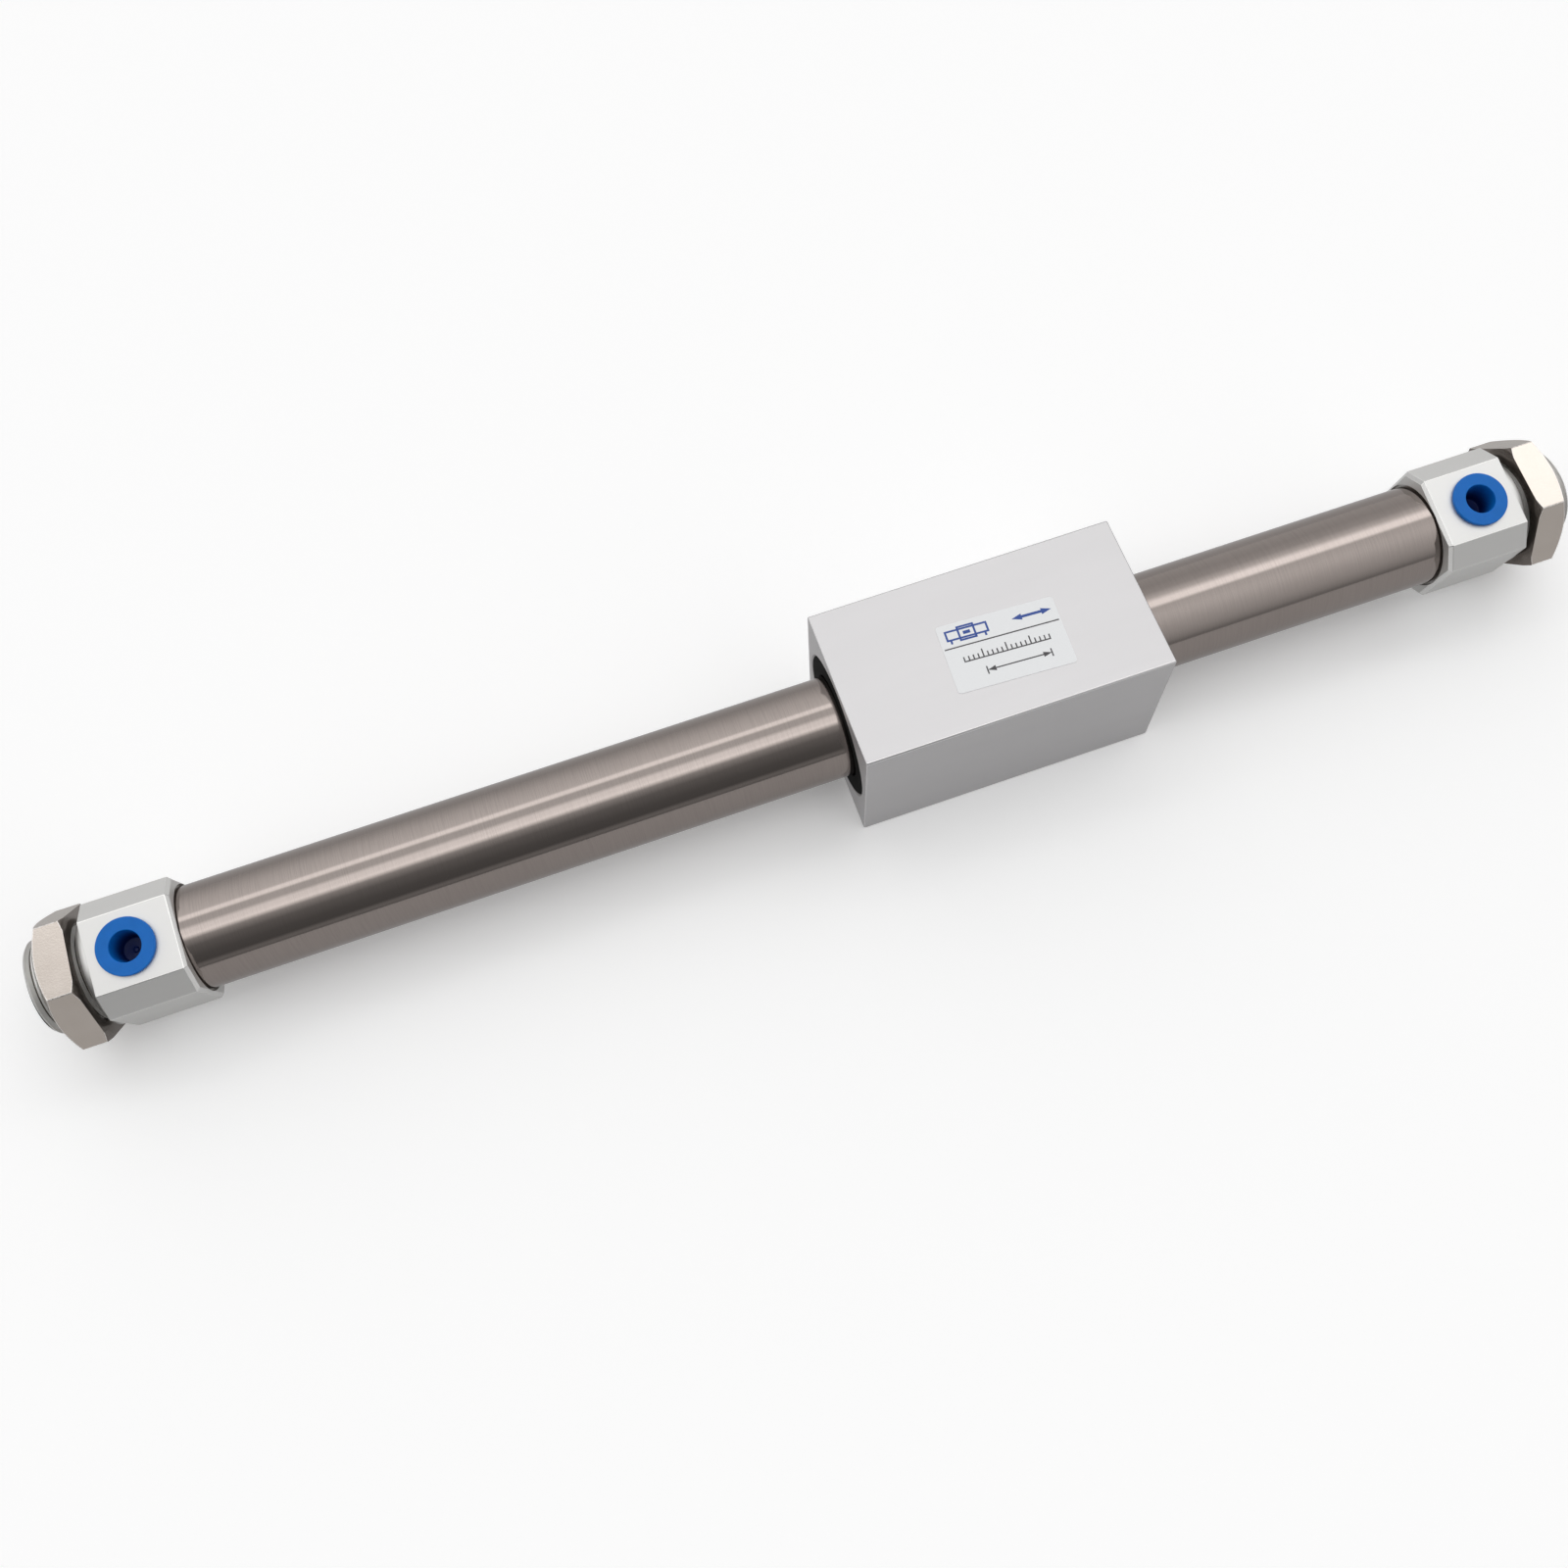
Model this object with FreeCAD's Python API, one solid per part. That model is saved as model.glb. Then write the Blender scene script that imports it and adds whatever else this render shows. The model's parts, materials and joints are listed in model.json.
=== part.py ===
# Magnetically coupled rodless air cylinder, basic type with a plain square carriage.
# Origin on the tube's axis at the middle of its length, +X along the tube, +Z up.
# The carriage stands square, and the end covers are rolled a little towards the front (-Y).
# Lengths in millimetres, angles in degrees, and a name ending in _d is a diameter.

import FreeCAD, Part
import math
import os

from FreeCAD import Vector

# Stroke and rest position
stroke = 200.0
carriage_rest = 34.7
cover_roll = 10.8

# Clearances, each on the radius or on one side
running = 0.05
seated = 0.02
side_play = 0.1
limit_play = 0.3

# How far a cutting shape reaches past the face it cuts, and the tip angle of drills
clear = 1.0
drill_tip_angle = 118.0

# Cylinder tube
bore_d = 20.0
tube_wall = 0.8

# Magnet stacks, with rings of equal length inside and outside the tube
magnet_count = 4
magnet_length = 7.0
yoke_length = 2.2
outer_magnet_wall = 4.0
outer_magnet_air = 0.45
outer_yoke_air = 0.3
inner_magnet_air = 0.7
inner_yoke_air = 0.45

# Carriage body
carriage_wall = 2.23
carriage_recess = 3.0
carriage_edge = 0.5
carriage_mouth = 0.4
bolt_drill_d = 3.3
bolt_depth = 6.0
bolt_sink = 0.45
bolt_edge = 5.0
bolt_inset = 8.0

# Bearing holders, wear rings, scrapers and felts in the carriage
holder_air = 0.6
web = 0.7
felt_width = 1.8
felt_wall = 2.2
wear_width = 3.8
wear_wall = 1.5
wear_split = 1.0
scraper_width = 2.0
scraper_wall = 2.4
scraper_lip = 0.6
dust_ring_sunk = 0.1
dust_ring_air = 0.3
dust_ring_edge = 0.2

# Retaining rings of the carriage
clip_thickness = 1.2
clip_groove = 0.65
clip_width = 2.4
clip_opening = 30.0
clip_ear = 1.5
clip_ear_hole_d = 1.4
clip_ear_rise = 0.6

# Piston
shaft_d = 8.0
shaft_chamfer = 0.5
piston_air = 0.2
piston_web = 1.2
piston_wear_width = 3.2
piston_wear_wall = 1.0
seal_width = 2.8
seal_wall = 1.7
seal_lip = 0.7
piston_nut_flats = 10.0
piston_nut_thickness = 3.6
piston_nut_space = 0.6
bumper_wall = 2.0
bumper_sunk = 2.4
bumper_stand = 1.2
bumper_rim = 0.9

# End covers
cover_wall = 1.2
cover_bevel = 4.4
cover_edge = 0.7
tube_seat = 5.0
mouth_air = 0.55
mouth_depth = 1.0
stop_gap = 2.0
spigot_length = 4.0
gasket_cord = 1.4
chamber_d = 8.0
wire_d = 0.8
wire_offset = 0.1
wire_opening = 20.0

# Threaded necks, with the crest diameter of an M20 x 1.5 thread, and their nuts
neck_d = 19.9
neck_length = 13.0
neck_chamfer = 0.7
collar_length = 1.6
collar_step = 0.1
collar_chamfer = 0.5
centre_hole_d = 2.0
centre_sink_d = 5.0
centre_depth = 5.0
nut_flats = 26.0
nut_thickness = 6.7
nut_gap = 2.8
nut_bevel_angle = 30.0
nut_bevel_inset = 0.26
nut_back_stand = 1.0
nut_sink = 0.7
left_nut_turn = 38.0
right_nut_turn = 25.0

# Air ports, with the core diameter of an Rc 1/8 thread, and their transit plugs
port_d = 8.6
port_offset = 8.0
port_depth = 7.0
port_web = 0.7
port_sink = 0.5
passage_d = 4.0
plug_flange_d = 11.6
plug_flange = 0.85
plug_shank = 6.2
plug_draft = 0.15
plug_recess_d = 6.3
plug_recess_end_d = 5.0
plug_floor = 0.8
plug_edge = 0.25

# Sizes that follow from the ones above
tube_r = bore_d / 2 + tube_wall
stack_length = magnet_count * magnet_length + (magnet_count + 1) * yoke_length
stack_end = stack_length / 2
magnet_outer_r = tube_r + outer_magnet_air + outer_magnet_wall
carriage_bore_r = magnet_outer_r + seated
carriage_side = 2 * (carriage_bore_r + carriage_wall)
wear_pocket = wear_width + 2 * side_play
holder_length = felt_width + web + wear_pocket + web + scraper_width
clip_slot = clip_thickness + side_play
carriage_length = 2 * (stack_end + holder_length + clip_slot + carriage_recess)
tube_stop = port_offset + port_d / 2 + port_web
cover_length = tube_stop + tube_seat
end_room = cover_length + stop_gap
span = stroke + carriage_length + 2 * end_room
shoulder = span / 2
cover_flats = 2 * (tube_r + cover_wall)
spigot_end = tube_stop + spigot_length
piston_reach = carriage_length / 2 + end_room - spigot_end - limit_play
piston_start = stack_end + seated
piston_length = piston_reach - bumper_stand - piston_start
piston_nut_sunk = piston_nut_thickness + piston_nut_space
shaft_end = piston_start + piston_length - piston_nut_space

axis_x = Vector(1, 0, 0)
axis_z = Vector(0, 0, 1)
origin = Vector(0, 0, 0)


# Shapes turned about the X axis, from a closed outline of (x, radius) corners
def turned(outline):
    corners = [Vector(x, 0, r) for x, r in outline]
    wire = Part.makePolygon(corners + corners[:1])
    return Part.Face(wire).revolve(origin, axis_x, 360)


def ring(x0, x1, inner_r, outer_r):
    return turned([(x0, inner_r), (x1, inner_r), (x1, outer_r), (x0, outer_r)])


def rod(x0, x1, radius):
    return Part.makeCylinder(radius, x1 - x0, Vector(x0, 0, 0), axis_x)


# A pie slice about the X axis, centred on a direction counted from +Z towards -Y
def slice_of(x0, x1, radius, angle, direction):
    corners = [Vector(x0, 0, 0), Vector(x1, 0, 0), Vector(x1, 0, radius), Vector(x0, 0, radius)]
    wedge = Part.Face(Part.makePolygon(corners + corners[:1])).revolve(origin, axis_x, angle)
    return wedge.rotate(origin, axis_x, direction - angle / 2)


# A hexagonal bar along X with each end bevelled by a cone down to a radius, as nuts are
def hexagon(flats, x0, face_r0, x1, face_r1):
    corner_r = flats / math.sqrt(3)
    corners = []
    for step in range(7):
        angle = math.radians(60 * step)
        corners.append(Vector(x0, corner_r * math.sin(angle), corner_r * math.cos(angle)))
    bar = Part.Face(Part.makePolygon(corners)).extrude(Vector(x1 - x0, 0, 0))
    slope = math.tan(math.radians(nut_bevel_angle))
    cones = turned([
        (x0, 0),
        (x0, face_r0),
        (x0 + (corner_r - face_r0) * slope, corner_r),
        (x1 - (corner_r - face_r1) * slope, corner_r),
        (x1, face_r1),
        (x1, 0),
    ])
    return bar.common(cones)


# The tube, with a groove for the retaining wire near each end
def cylinder_tube():
    end = shoulder - tube_stop - seated
    inner_r = bore_d / 2
    tube = ring(-end, end, inner_r, tube_r)
    for side in (-1, 1):
        tube = tube.cut(wire_groove(side * wire_x()))
    return tube


def wire_x():
    return shoulder - tube_stop - tube_seat / 2 + mouth_depth / 2


# A ring-shaped room for the retaining wire, half in the tube and half in the cover
def wire_groove(x):
    half = wire_d / 2 + seated
    centre_r = tube_r + wire_offset
    return ring(x - half, x + half, centre_r - half, centre_r + half)


def retaining_wire():
    half = wire_d / 2
    centre_r = tube_r + wire_offset
    wire = ring(-half, half, centre_r - half, centre_r + half)
    gap = slice_of(-wire_d, wire_d, tube_r + wire_d * 2, wire_opening, 180)
    return wire.cut(gap).translated(Vector(wire_x() - shoulder, 0, 0))


# End cover in its own frame: shoulder at x = 0, neck along +X, tube side along -X, port up
def end_cover():
    half = cover_flats / 2
    flat = half - cover_bevel
    outline = [(half, flat), (flat, half), (-flat, half), (-half, flat)]
    outline += [(-y, -z) for y, z in outline]
    corners = [Vector(-cover_length, y, z) for y, z in outline]
    bar = Part.Face(Part.makePolygon(corners + corners[:1])).extrude(Vector(cover_length, 0, 0))
    end_edges = [edge for edge in bar.Edges if edge.BoundBox.XMax < seated - cover_length]
    cover = bar.makeChamfer(cover_edge, end_edges)
    cover = cover.fuse(neck())
    cover = cover.cut(tube_room())
    cover = cover.cut(port_room())
    return cover.removeSplitter()


# A short round collar stands between the bar and the thread
def neck():
    radius = neck_d / 2
    collar_r = cover_flats / 2 - collar_step
    outline = [(-clear, 0), (-clear, collar_r), (collar_length - collar_chamfer, collar_r)]
    outline += [(collar_length, collar_r - collar_chamfer), (collar_length, radius)]
    outline += [(neck_length - neck_chamfer, radius)]
    outline += [(neck_length, radius - neck_chamfer), (neck_length, centre_sink_d / 2)]
    outline += [(neck_length - (centre_sink_d - centre_hole_d) / 2 * math.sqrt(3), centre_hole_d / 2)]
    outline += [(neck_length - centre_depth, centre_hole_d / 2), (neck_length - centre_depth, 0)]
    return turned(outline)


# The room that is bored from the tube side: mouth, tube seat, wire groove, and the chamber in the spigot
def tube_room():
    tube_end = -tube_stop
    outside = -cover_length - clear
    mouth = ring(outside, -cover_length + mouth_depth, 0, tube_r + mouth_air)
    seat = ring(outside, tube_end, spigot_r(), tube_r + seated)
    past_spigot = rod(outside, -spigot_end, tube_r + seated)
    chamber = rod(outside, -port_offset + passage_d / 2, chamber_d / 2)
    room = seat.fuse([mouth.cut(rod(-spigot_end, 0, spigot_r())), past_spigot, chamber])
    room = room.fuse([wire_groove(wire_x() - shoulder), gasket_groove()])
    return room


def spigot_r():
    return bore_d / 2 - side_play


def gasket_groove():
    half = gasket_cord / 2 + side_play
    middle = -tube_stop - spigot_length / 2
    return ring(middle - half, middle + half, bore_d / 2 - gasket_cord, bore_d / 2)


def tube_gasket():
    half = gasket_cord / 2
    middle = -tube_stop - spigot_length / 2
    return ring(middle - half, middle + half, bore_d / 2 - gasket_cord + seated, bore_d / 2 - seated)


# A plain vertical hole shape, from an outline of (radius, height) corners, at the port's place
def upright(outline):
    corners = [Vector(r, 0, z) for r, z in outline]
    wire = Part.makePolygon(corners + corners[:1])
    return Part.Face(wire).revolve(origin, axis_z, 360)


def port_room():
    face = cover_flats / 2
    radius = port_d / 2
    floor = face - port_depth
    tip = (radius - passage_d / 2) / math.tan(math.radians(drill_tip_angle / 2))
    hole = upright([
        (0, face + clear),
        (radius + port_sink + clear, face + clear),
        (radius, face - port_sink),
        (radius, floor),
        (passage_d / 2, floor - tip),
        (passage_d / 2, 0),
        (0, 0),
    ])
    return hole.translated(Vector(-port_offset, 0, 0))


# Transit plug: a thin flange, a slightly tapered shank and a tapered blind recess
def port_plug():
    under = cover_flats / 2 + side_play
    top = under + plug_flange
    flange_r = plug_flange_d / 2
    shank_r = port_d / 2 - 2 * running
    end = under - plug_shank
    recess_floor = end + plug_floor
    plug = upright([
        (0, end),
        (shank_r - plug_draft - plug_edge, end),
        (shank_r - plug_draft, end + plug_edge),
        (shank_r, under),
        (flange_r - plug_edge, under),
        (flange_r, under + plug_edge),
        (flange_r, top - plug_edge),
        (flange_r - plug_edge, top),
        (plug_recess_d / 2 + plug_edge, top),
        (plug_recess_d / 2, top - plug_edge),
        (plug_recess_end_d / 2, recess_floor),
        (0, recess_floor),
    ])
    return plug.translated(Vector(-port_offset, 0, 0))


def mounting_nut(turn):
    x0 = nut_gap
    x1 = nut_gap + nut_thickness
    nut = hexagon(nut_flats, x0, nut_flats / 2 + nut_back_stand, x1, nut_flats / 2 - nut_bevel_inset)
    hole_r = neck_d / 2 + running
    hole = turned([
        (x0 - clear, 0),
        (x0 - clear, hole_r + nut_sink),
        (x0, hole_r + nut_sink),
        (x0 + nut_sink, hole_r),
        (x1 - nut_sink, hole_r),
        (x1, hole_r + nut_sink),
        (x1 + clear, hole_r + nut_sink),
        (x1 + clear, 0),
    ])
    return nut.cut(hole).rotate(origin, axis_x, turn)


# Carriage body in its own frame, centred on the tube's axis
def carriage_body():
    half = carriage_side / 2
    long_half = carriage_length / 2
    body = Part.makeBox(carriage_length, carriage_side, carriage_side, Vector(-long_half, -half, -half))
    long_edges = [edge for edge in body.Edges if abs(edge.tangentAt(0).x) > 0.99]
    body = body.makeFillet(carriage_edge, long_edges)
    bore = turned([
        (-long_half - clear, 0),
        (-long_half - clear, carriage_bore_r + carriage_mouth),
        (-long_half, carriage_bore_r + carriage_mouth),
        (-long_half + carriage_mouth, carriage_bore_r),
        (long_half - carriage_mouth, carriage_bore_r),
        (long_half, carriage_bore_r + carriage_mouth),
        (long_half + clear, carriage_bore_r + carriage_mouth),
        (long_half + clear, 0),
    ])
    body = body.cut(bore)
    for side in (-1, 1):
        clip_middle = side * (long_half - carriage_recess - clip_slot / 2)
        half_slot = clip_slot / 2
        groove_r = carriage_bore_r + clip_groove
        slot = ring(clip_middle - half_slot, clip_middle + half_slot, tube_r, groove_r)
        body = body.cut(slot)
    for x in (-1, 1):
        for y in (-1, 1):
            place = Vector(x * (long_half - bolt_inset), y * (half - bolt_edge), -half)
            body = body.cut(bolt_hole().translated(place))
    return body


# A tapped hole seen from its mouth at z = 0, running up
def bolt_hole():
    radius = bolt_drill_d / 2
    tip = radius / math.tan(math.radians(drill_tip_angle / 2))
    return upright([
        (0, -clear),
        (radius + bolt_sink + clear, -clear),
        (radius, bolt_sink),
        (radius, bolt_depth),
        (0, bolt_depth + tip),
    ])


# Magnet rings and yoke rings, one after the other along the stack
def magnet_places():
    pitch = magnet_length + yoke_length
    return [-stack_end + yoke_length + step * pitch for step in range(magnet_count)]


def yoke_places():
    pitch = magnet_length + yoke_length
    return [-stack_end + step * pitch for step in range(magnet_count + 1)]


def outer_magnets():
    inner_r = tube_r + outer_magnet_air
    return [ring(x, x + magnet_length, inner_r, magnet_outer_r) for x in magnet_places()]


def outer_yokes():
    inner_r = tube_r + outer_yoke_air
    return [ring(x, x + yoke_length, inner_r, magnet_outer_r) for x in yoke_places()]


def inner_magnets():
    outer_r = bore_d / 2 - inner_magnet_air
    return [ring(x, x + magnet_length, shaft_d / 2 + seated, outer_r) for x in magnet_places()]


def inner_yokes():
    outer_r = bore_d / 2 - inner_yoke_air
    return [ring(x, x + yoke_length, shaft_d / 2 + seated, outer_r) for x in yoke_places()]


# Pieces at the carriage's right end, in the carriage's frame; the left ones are turned half round
def wear_start():
    return stack_end + felt_width + web


def scraper_start():
    return wear_start() + wear_pocket + web


def bearing_holder():
    x0 = stack_end + seated
    x1 = stack_end + holder_length
    inner_r = tube_r + holder_air
    felt_r = tube_r + felt_wall + 2 * seated
    wear_r = tube_r + running + wear_wall + running
    scraper_r = tube_r + scraper_wall + 2 * seated
    outline = [(x0, felt_r), (x0 + felt_width, felt_r), (x0 + felt_width, inner_r)]
    outline += [(wear_start(), inner_r), (wear_start(), wear_r), (wear_start() + wear_pocket, wear_r)]
    outline += [(wear_start() + wear_pocket, inner_r), (scraper_start(), inner_r)]
    outline += [(scraper_start(), scraper_r), (x1, scraper_r)]
    outline += [(x1, carriage_bore_r - seated), (x0, carriage_bore_r - seated)]
    return turned(outline)


def lube_felt():
    x0 = stack_end + 2 * seated
    return ring(x0, x0 + felt_width - 2 * seated, tube_r + running, tube_r + felt_wall)


def wear_ring():
    x0 = wear_start() + side_play
    inner_r = tube_r + running
    wear = ring(x0, x0 + wear_width, inner_r, inner_r + wear_wall)
    corner = Vector(x0 - clear, -wear_split / 2, 0)
    split = Part.makeBox(wear_width + 2 * clear, wear_split, tube_r * 2, corner)
    return wear.cut(split)


def scraper():
    x0 = scraper_start() + seated
    x1 = scraper_start() + scraper_width
    lip_r = tube_r + running
    outer_r = tube_r + scraper_wall
    heel_r = lip_r + holder_air
    return turned([
        (x0, heel_r),
        (x1 - scraper_lip, heel_r),
        (x1 - scraper_lip / 2, lip_r),
        (x1, lip_r),
        (x1, lip_r + scraper_lip),
        (x1 - scraper_lip, outer_r - scraper_lip),
        (x1 - scraper_lip / 2, outer_r),
        (x0, outer_r),
    ])


# The ring that closes the mouth of the carriage in front of the retaining ring
def dust_ring():
    x0 = stack_end + holder_length + clip_slot + seated
    x1 = carriage_length / 2 - dust_ring_sunk
    inner_r = tube_r + dust_ring_air
    outer_r = carriage_bore_r - seated
    return turned([
        (x0, inner_r),
        (x1 - dust_ring_edge, inner_r),
        (x1, inner_r + dust_ring_edge),
        (x1, outer_r - dust_ring_edge),
        (x1 - dust_ring_edge, outer_r),
        (x0, outer_r),
    ])


# Internal retaining ring with two pierced ears beside its opening, which faces down
def carriage_clip():
    x0 = stack_end + holder_length + side_play / 2
    x1 = x0 + clip_thickness
    outer_r = carriage_bore_r + clip_groove - side_play
    inner_r = carriage_bore_r - clip_width
    clip = ring(x0, x1, inner_r, outer_r)
    clip = clip.cut(slice_of(x0 - clear, x1 + clear, outer_r + clear, clip_opening, 180))
    for side in (-1, 1):
        angle = 180 + side * (clip_opening / 2 + math.degrees(clip_ear / inner_r))
        clip = clip.fuse(rod(x0, x1, clip_ear).translated(ear_place(angle)))
    for side in (-1, 1):
        angle = 180 + side * (clip_opening / 2 + math.degrees(clip_ear / inner_r))
        clip = clip.cut(rod(x0 - clear, x1 + clear, clip_ear_hole_d / 2).translated(ear_place(angle)))
    return clip


def ear_place(angle):
    radius = carriage_bore_r - clip_width + clip_ear_rise
    turn = math.radians(angle)
    return Vector(0, -radius * math.sin(turn), radius * math.cos(turn))


# Pieces at the piston's right end, in the piston's frame
def piston_wear_start():
    return piston_start + piston_web


def seal_start():
    return piston_wear_start() + piston_wear_width + 2 * side_play + piston_web


def bumper_outer_r():
    return bore_d / 2 - piston_air - bumper_rim


def piston():
    x0 = piston_start
    x1 = piston_start + piston_length
    outer_r = bore_d / 2 - piston_air
    wear_r = bore_d / 2 - running - piston_wear_wall - seated
    seal_r = bore_d / 2 - running - seal_wall - seated
    nut_r = piston_nut_flats / math.sqrt(3) + side_play
    shaft_r = shaft_d / 2 + seated
    wear_x = piston_wear_start()
    wear_x1 = wear_x + piston_wear_width + 2 * side_play
    seal_x = seal_start()
    seal_x1 = seal_x + seal_width + 2 * side_play
    bumper_r = bumper_outer_r()
    outline = [(x0, shaft_r), (x0, outer_r), (wear_x, outer_r), (wear_x, wear_r)]
    outline += [(wear_x1, wear_r), (wear_x1, outer_r), (seal_x, outer_r), (seal_x, seal_r)]
    outline += [(seal_x1, seal_r), (seal_x1, outer_r), (x1, outer_r), (x1, bumper_r + seated)]
    outline += [(x1 - bumper_sunk, bumper_r + seated), (x1 - bumper_sunk, nut_r)]
    outline += [(x1 - piston_nut_sunk, nut_r), (x1 - piston_nut_sunk, shaft_r)]
    return turned(outline)


def piston_wear_ring():
    x0 = piston_wear_start() + side_play
    outer_r = bore_d / 2 - running
    wear = ring(x0, x0 + piston_wear_width, outer_r - piston_wear_wall, outer_r)
    corner = Vector(x0 - clear, -wear_split / 2, 0)
    split = Part.makeBox(piston_wear_width + 2 * clear, wear_split, bore_d, corner)
    return wear.cut(split)


# Piston seal with a lip spread towards the air side
def piston_seal():
    x0 = seal_start() + side_play
    x1 = x0 + seal_width
    outer_r = bore_d / 2 - running
    inner_r = outer_r - seal_wall
    return turned([
        (x0, inner_r),
        (x1, inner_r),
        (x1, inner_r + seal_lip),
        (x1 - seal_lip, (inner_r + outer_r) / 2),
        (x1, outer_r - seal_lip / 2),
        (x1, outer_r),
        (x1 - seal_lip, outer_r),
        (x0, outer_r - piston_air),
    ])


def bumper():
    x0 = piston_start + piston_length - bumper_sunk + seated
    outer_r = bumper_outer_r()
    return ring(x0, piston_reach, outer_r - bumper_wall, outer_r)


def piston_nut():
    x0 = shaft_end - piston_nut_thickness + seated
    face_r = piston_nut_flats / 2 - nut_bevel_inset
    nut = hexagon(piston_nut_flats, x0, face_r, shaft_end, face_r)
    return nut.cut(rod(0, shaft_end + clear, shaft_d / 2 + seated))


def piston_shaft():
    radius = shaft_d / 2
    return turned([
        (-shaft_end, 0),
        (-shaft_end, radius - shaft_chamfer),
        (shaft_chamfer - shaft_end, radius),
        (shaft_end - shaft_chamfer, radius),
        (shaft_end, radius - shaft_chamfer),
        (shaft_end, 0),
    ])


# Placing: pieces of the covers are rolled with them, and left ones are right ones turned half round
def at_cover(shape, side):
    placed = shape.copy()
    if side < 0:
        placed.rotate(origin, axis_z, 180)
    placed.translate(Vector(side * shoulder, 0, 0))
    placed.rotate(origin, axis_x, cover_roll)
    return placed


def at_carriage(shape, side=1):
    placed = shape.copy()
    if side < 0:
        placed.rotate(origin, axis_z, 180)
    placed.translate(Vector(carriage_rest, 0, 0))
    return placed


def save(name, shapes):
    shape = shapes[0] if len(shapes) == 1 else Part.makeCompound(shapes)
    if not shape.isValid():
        raise ValueError(name + " is not a valid shape")
    shape.exportStep("parts/" + name + ".step")


def main():
    os.makedirs("parts", exist_ok=True)

    save("cylinder_tube", [cylinder_tube()])
    for name, side in (("left", -1), ("right", 1)):
        turn = left_nut_turn if side < 0 else right_nut_turn
        save(name + "_end_cover", [at_cover(end_cover(), side)])
        save(name + "_cover_retaining_wire", [at_cover(retaining_wire(), side)])
        save(name + "_tube_gasket", [at_cover(tube_gasket(), side)])
        save(name + "_mounting_nut", [at_cover(mounting_nut(turn), side)])
        save(name + "_port_plug", [at_cover(port_plug(), side)])
        save(name + "_bearing_holder", [at_carriage(bearing_holder(), side)])
        save(name + "_lube_felt", [at_carriage(lube_felt(), side)])
        save(name + "_wear_ring", [at_carriage(wear_ring(), side)])
        save(name + "_scraper", [at_carriage(scraper(), side)])
        save(name + "_carriage_clip", [at_carriage(carriage_clip(), side)])
        save(name + "_dust_ring", [at_carriage(dust_ring(), side)])
        save(name + "_piston", [at_carriage(piston(), side)])
        save(name + "_piston_wear_ring", [at_carriage(piston_wear_ring(), side)])
        save(name + "_piston_seal", [at_carriage(piston_seal(), side)])
        save(name + "_bumper", [at_carriage(bumper(), side)])
        save(name + "_piston_nut", [at_carriage(piston_nut(), side)])

    save("carriage_body", [at_carriage(carriage_body())])
    save("outer_magnets", [at_carriage(shape) for shape in outer_magnets()])
    save("outer_yokes", [at_carriage(shape) for shape in outer_yokes()])
    save("inner_magnets", [at_carriage(shape) for shape in inner_magnets()])
    save("inner_yokes", [at_carriage(shape) for shape in inner_yokes()])
    save("piston_shaft", [at_carriage(piston_shaft())])

    print("shoulder to shoulder", round(span, 3))
    print("overall length", round(span + 2 * neck_length, 3))
    print("carriage", round(carriage_length, 3), "long,", round(carriage_side, 3), "square")
    print("cover", round(cover_length, 3), "long,", round(cover_flats, 3), "across flats")
    print("piston half length", round(piston_reach, 3), "piston body", round(piston_length, 3))


main()
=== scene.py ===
# Looks of a magnetically coupled rodless air cylinder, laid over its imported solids.
# Every piece in view is modelled here again, finer than its solid, and stands in the solid's place.
# The pieces sealed inside keep their solids and get a finish of their own.
# The frame is in metres: +X along the tube, +Z up, -Y to the front, origin at the tube's middle.
import json
import math

import bpy
from mathutils import Matrix, Vector


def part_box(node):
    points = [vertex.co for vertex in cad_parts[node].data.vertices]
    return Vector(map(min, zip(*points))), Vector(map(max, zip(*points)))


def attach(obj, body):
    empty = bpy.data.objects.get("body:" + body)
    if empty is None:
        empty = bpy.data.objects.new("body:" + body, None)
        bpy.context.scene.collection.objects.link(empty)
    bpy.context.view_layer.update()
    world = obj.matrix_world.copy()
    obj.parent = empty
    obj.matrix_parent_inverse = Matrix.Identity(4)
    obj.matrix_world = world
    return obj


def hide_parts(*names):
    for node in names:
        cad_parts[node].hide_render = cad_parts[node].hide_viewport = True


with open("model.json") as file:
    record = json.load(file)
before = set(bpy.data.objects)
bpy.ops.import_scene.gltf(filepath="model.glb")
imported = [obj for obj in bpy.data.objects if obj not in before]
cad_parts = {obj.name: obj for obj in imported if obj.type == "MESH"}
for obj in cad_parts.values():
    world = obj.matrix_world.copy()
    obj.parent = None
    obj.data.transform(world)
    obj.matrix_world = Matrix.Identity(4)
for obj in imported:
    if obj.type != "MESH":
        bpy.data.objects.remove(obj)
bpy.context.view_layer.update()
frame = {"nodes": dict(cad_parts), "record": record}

mm = 0.001
tiny = 0.001 * mm
axis_x = (1, 0, 0)

# Clearances of pieces that slide, and of pieces that sit still in each other
running = 0.05 * mm
seated = 0.02 * mm

# Sizes. Most are the solids' own. Threads and small roundings are made here alone.
tube_r = 10.8 * mm
tube_wall = 0.8 * mm
tube_round = 0.1 * mm

cover_roll = math.radians(10.8)
cover_length = 18 * mm
cover_flats = 24 * mm
cover_bevel = 4.4 * mm
cover_edge = 0.7 * mm
cover_round = 0.13 * mm
tube_seat = 5 * mm
mouth_air = 0.55 * mm
mouth_depth = 1 * mm
spigot_length = 4 * mm
spigot_r = 9.9 * mm
chamber_r = 4 * mm

neck_r = 9.95 * mm
neck_length = 13 * mm
neck_pitch = 1.5 * mm
neck_thread = 0.92 * mm
neck_chamfer = 0.7 * mm
collar_length = 1.6 * mm
collar_chamfer = 0.5 * mm
collar_round = 0.06 * mm
centre_hole_r = 1 * mm
centre_sink_r = 2.5 * mm
centre_depth = 5 * mm

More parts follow.
